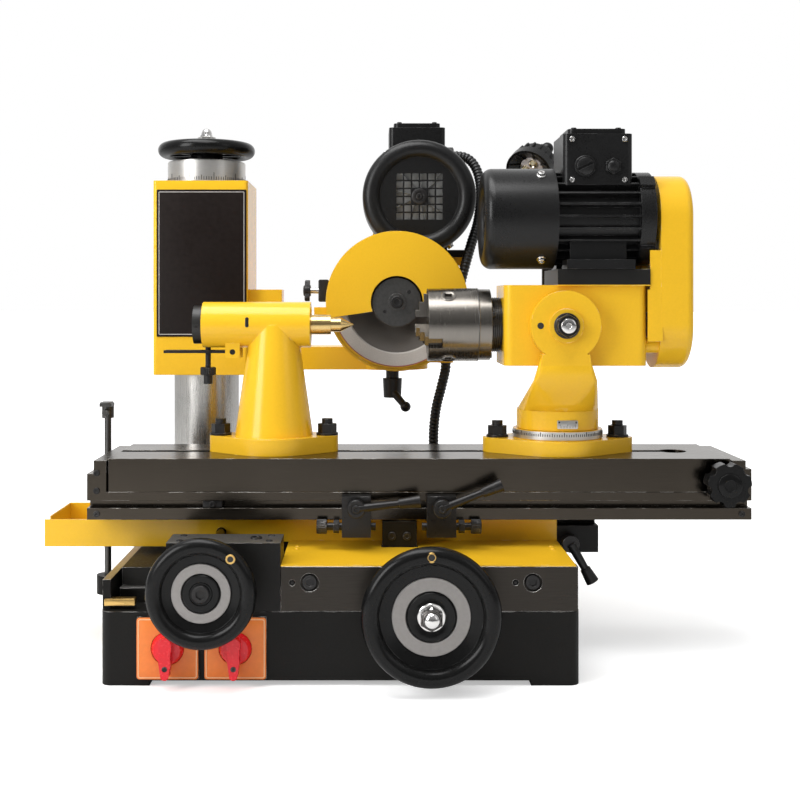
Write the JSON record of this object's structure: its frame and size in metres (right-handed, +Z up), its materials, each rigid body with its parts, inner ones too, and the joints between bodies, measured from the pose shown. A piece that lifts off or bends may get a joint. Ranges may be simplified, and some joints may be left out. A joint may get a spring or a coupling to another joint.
{
  "type": "tool and cutter grinder",
  "caption": "Bench tool and cutter grinder: sliding table with chuck workhead and tailstock, and a belt-driven wheelhead raised on a round column.",
  "frame": {"origin": "on the base's underside, midway along the base and below the work axis", "axes": "+X along the table towards the workhead, +Y back towards the column, +Z up"},
  "size_m": [0.749, 0.5158, 0.5978],
  "materials": {
    "cast_black": "semi-gloss black paint over cast iron",
    "yellow_paint": "smooth gloss yellow enamel",
    "machined_steel": "ground and turned steel",
    "dark_steel": "dark machined iron with a light oil film",
    "black_metal": "satin black paint",
    "black_plastic": "moulded black plastic",
    "red_plastic": "glossy red moulding",
    "bronze": "turned bronze",
    "center_steel": "ground centre with a straw tint",
    "abrasive": "bonded abrasive, red-brown grain",
    "belt_rubber": "moulded rubber",
    "hose_plastic": "corrugated black plastic conduit"
  },
  "bodies": {
    "base": {"base_casting": "cast_black", "column": "machined_steel", "feed_nuts": "bronze", "lamp_arm": "black_metal", "lower_hose": "hose_plastic"},
    "switch_left": {"switch_knob_left": "red_plastic"},
    "switch_right": {"switch_knob_right": "red_plastic"},
    "tooth_rest": {"rest_rod": "dark_steel"},
    "lamp": {"lamp_head": "black_metal"},
    "saddle": {"saddle": "cast_black", "apron": "dark_steel", "chip_tray": "yellow_paint"},
    "cross_wheel": {"cross_handwheel": "black_plastic", "cross_screw": "machined_steel"},
    "feed_wheel": {"feed_handwheel": "black_plastic", "feed_shaft": "machined_steel"},
    "pinion": {"feed_pinion": "machined_steel"},
    "saddle_lock": {"saddle_lock_lever": "black_plastic"},
    "table": {"lower_table": "dark_steel", "table_rack": "machined_steel"},
    "swivel_table": {"upper_table": "dark_steel"},
    "table_knob": {"star_knob": "black_plastic"},
    "stop_left": {"dog_left": "dark_steel"},
    "stop_left_lever": {"dog_lever_left": "dark_steel"},
    "stop_right": {"dog_right": "dark_steel"},
    "stop_right_lever": {"dog_lever_right": "dark_steel"},
    "tailstock": {"tailstock_body": "yellow_paint", "tailstock_bolts": "dark_steel", "quill_spring": "machined_steel"},
    "quill": {"tail_center": "center_steel"},
    "retract_lever": {"quill_lever": "black_metal"},
    "clamp_screw": {"tail_screw": "black_metal"},
    "workhead_base": {"work_base": "yellow_paint", "work_bolts": "dark_steel"},
    "workhead_post": {"work_post": "yellow_paint"},
    "workhead": {"head_body": "yellow_paint", "work_motor": "black_metal", "work_belt_guard": "yellow_paint", "work_belt": "belt_rubber"},
    "work_spindle": {"chuck": "machined_steel", "work_spindle": "dark_steel"},
    "jaw_1": {"chuck_jaw_1": "machined_steel"},
    "jaw_2": {"chuck_jaw_2": "machined_steel"},
    "jaw_3": {"chuck_jaw_3": "machined_steel"},
    "work_rotor": {"work_rotor": "machined_steel"},
    "lift": {"column_sleeve": "machined_steel", "sleeve_box": "yellow_paint", "arm": "yellow_paint"},
    "lift_wheel": {"lift_handwheel": "black_plastic", "lift_screw": "machined_steel"},
    "arm_clamp": {"arm_clamp_lever": "black_plastic"},
    "wheelhead": {"spindle_housing": "yellow_paint", "wheel_guard": "yellow_paint", "wheel_motor": "black_metal", "wheel_belt_cover": "yellow_paint", "wheel_belt": "belt_rubber", "upper_hose": "hose_plastic"},
    "wheel_spindle": {"wheel_spindle": "dark_steel", "grinding_wheel": "abrasive"},
    "wheel_rotor": {"wheel_rotor": "machined_steel"}
  },
  "joints": [
    {"name": "cross_wheel_turn", "type": "hinge", "parent": "saddle", "child": "cross_wheel", "pos_m": [0.087, -0.15, 0.076], "axis": [0, 1, 0], "range_deg": [-8145, 495]},
    {"name": "cross_slide", "type": "slide", "parent": "base", "child": "saddle", "axis": [0, 1, 0], "range_m": [-0.09, 0.005]},
    {"name": "table_slide", "type": "slide", "parent": "saddle", "child": "table", "axis": [1, 0, 0], "range_m": [-0.14, 0.115]},
    {"name": "feed_wheel_turn", "type": "hinge", "parent": "saddle", "child": "feed_wheel", "pos_m": [-0.131, -0.15, 0.098], "axis": [0, 1, 0], "range_deg": [-270, 330]},
    {"name": "pinion_turn", "type": "hinge", "parent": "saddle", "child": "pinion", "pos_m": [-0.131, -0.1, 0.126], "axis": [0, 1, 0], "range_deg": [-820, 680]},
    {"name": "table_swivel", "type": "hinge", "parent": "table", "child": "swivel_table", "pos_m": [0.0805, 0, 0.18], "axis": [0, 0, 1], "range_deg": [-1.5, 1.5]},
    {"name": "table_knob_turn", "type": "hinge", "parent": "swivel_table", "child": "table_knob", "pos_m": [0.397, -0.085, 0.1863], "axis": [0, 1, 0], "range_deg": [-180, 180]},
    {"name": "stop_left_slide", "type": "slide", "parent": "table", "child": "stop_left", "axis": [1, 0, 0], "range_m": [-0.12, 0]},
    {"name": "stop_left_clamp", "type": "hinge", "parent": "stop_left", "child": "stop_left_lever", "pos_m": [0.015, -0.09, 0.1623], "axis": [0, 1, 0], "range_deg": [-60, 10]},
    {"name": "stop_right_slide", "type": "slide", "parent": "table", "child": "stop_right", "axis": [1, 0, 0], "range_m": [0, 0.12]},
    {"name": "stop_right_clamp", "type": "hinge", "parent": "stop_right", "child": "stop_right_lever", "pos_m": [0.103, -0.09, 0.1623], "axis": [0, 1, 0], "range_deg": [-50, 20]},
    {"name": "saddle_lock_turn", "type": "hinge", "parent": "saddle", "child": "saddle_lock", "pos_m": [0.243, -0.035, 0.116], "axis": [0, 1, 0], "range_deg": [-60, 20]},
    {"name": "tailstock_slide", "type": "slide", "parent": "swivel_table", "child": "tailstock", "axis": [1, 0, 0], "range_m": [-0.08, 0.03]},
    {"name": "quill_slide", "type": "slide", "parent": "tailstock", "child": "quill", "axis": [1, 0, 0], "range_m": [-0.006, 0], "stiffness_N_per_m": 900, "springref_m": 0.004, "deforming": ["quill_spring"]},
    {"name": "retract_lever_turn", "type": "hinge", "parent": "tailstock", "child": "retract_lever", "pos_m": [-0.1205, 0, 0.3195], "axis": [0, 1, 0], "range_deg": [-12.5, 0.2]},
    {"name": "clamp_screw_turn", "type": "hinge", "parent": "tailstock", "child": "clamp_screw", "pos_m": [-0.149, 0, 0.31], "axis": [0, 0, 1], "range_deg": [-180, 180]},
    {"name": "workhead_slide", "type": "slide", "parent": "swivel_table", "child": "workhead_base", "axis": [1, 0, 0], "range_m": [-0.015, 0.02]},
    {"name": "workhead_swivel", "type": "hinge", "parent": "workhead_base", "child": "workhead_post", "pos_m": [0.235, 0, 0.24], "axis": [0, 0, 1], "range_deg": [0, 90]},
    {"name": "workhead_tilt", "type": "hinge", "parent": "workhead_post", "child": "workhead", "pos_m": [0.235, -0.06, 0.349], "axis": [0, 1, 0], "range_deg": [-15, 20]},
    {"name": "work_spin", "type": "hinge", "parent": "workhead", "child": "work_spindle", "pos_m": [0.2, 0, 0.349], "axis": [1, 0, 0], "continuous": true},
    {"name": "work_rotor_spin", "type": "hinge", "parent": "workhead", "child": "work_rotor", "pos_m": [0.25, 0, 0.465], "axis": [1, 0, 0], "continuous": true},
    {"name": "jaw_1_slide", "type": "slide", "parent": "work_spindle", "child": "jaw_1", "axis": [0, 0, 1], "range_m": [0, 0.008]},
    {"name": "jaw_2_slide", "type": "slide", "parent": "work_spindle", "child": "jaw_2", "axis": [0, -0.866, -0.5], "range_m": [-0.0002, 0.0082]},
    {"name": "jaw_3_slide", "type": "slide", "parent": "work_spindle", "child": "jaw_3", "axis": [0, 0.866, -0.5], "range_m": [-0.0002, 0.0082]},
    {"name": "lift_wheel_turn", "type": "hinge", "parent": "lift", "child": "lift_wheel", "pos_m": [-0.175, 0.18, 0.55], "axis": [0, 0, 1], "range_deg": [-4995, 7245]},
    {"name": "lift_slide", "type": "slide", "parent": "base", "child": "lift", "axis": [0, 0, 1], "range_m": [-0.055, 0.08], "deforming": ["lower_hose"]},
    {"name": "wheelhead_swivel", "type": "hinge", "parent": "lift", "child": "wheelhead", "pos_m": [0.057, 0.18, 0.305], "axis": [0, 0, 1], "range_deg": [0, 25], "deforming": ["upper_hose"]},
    {"name": "arm_clamp_turn", "type": "hinge", "parent": "lift", "child": "arm_clamp", "pos_m": [0.057, 0.18, 0.27], "axis": [0, 0, 1], "range_deg": [-60, 60]},
    {"name": "wheel_spin", "type": "hinge", "parent": "wheelhead", "child": "wheel_spindle", "pos_m": [0.06, 0.2, 0.3738], "axis": [0, 1, 0], "continuous": true},
    {"name": "wheel_rotor_spin", "type": "hinge", "parent": "wheelhead", "child": "wheel_rotor", "pos_m": [0.088, 0.2, 0.4998], "axis": [0, 1, 0], "continuous": true},
    {"name": "switch_left_turn", "type": "hinge", "parent": "base", "child": "switch_left", "pos_m": [-0.168, -0.15, 0.037], "axis": [0, 1, 0], "range_deg": [-60, 60]},
    {"name": "switch_right_turn", "type": "hinge", "parent": "base", "child": "switch_right", "pos_m": [-0.102, -0.15, 0.037], "axis": [0, 1, 0], "range_deg": [-60, 60]},
    {"name": "rest_slide", "type": "slide", "parent": "base", "child": "tooth_rest", "axis": [0, 0, 1], "range_m": [-0.02, 0.06]},
    {"name": "lamp_swivel", "type": "hinge", "parent": "base", "child": "lamp", "pos_m": [0.258, 0.231, 0.56], "axis": [0, 0, 1], "range_deg": [-30, 40]}
  ],
  "couplings": [
    {"joint": "cross_wheel_turn", "follows": "cross_slide", "rad_per_m": 1570.8},
    {"joint": "feed_wheel_turn", "follows": "table_slide", "rad_per_m": -40},
    {"joint": "pinion_turn", "follows": "table_slide", "rad_per_m": 100},
    {"joint": "retract_lever_turn", "follows": "quill_slide", "rad_per_m": 35},
    {"joint": "work_rotor_spin", "follows": "work_spin", "ratio": 1.3333},
    {"joint": "jaw_2_slide", "follows": "jaw_1_slide", "ratio": 1},
    {"joint": "jaw_3_slide", "follows": "jaw_1_slide", "ratio": 1},
    {"joint": "lift_wheel_turn", "follows": "lift_slide", "rad_per_m": 1570.8},
    {"joint": "wheel_rotor_spin", "follows": "wheel_spin", "ratio": 0.79412}
  ]
}
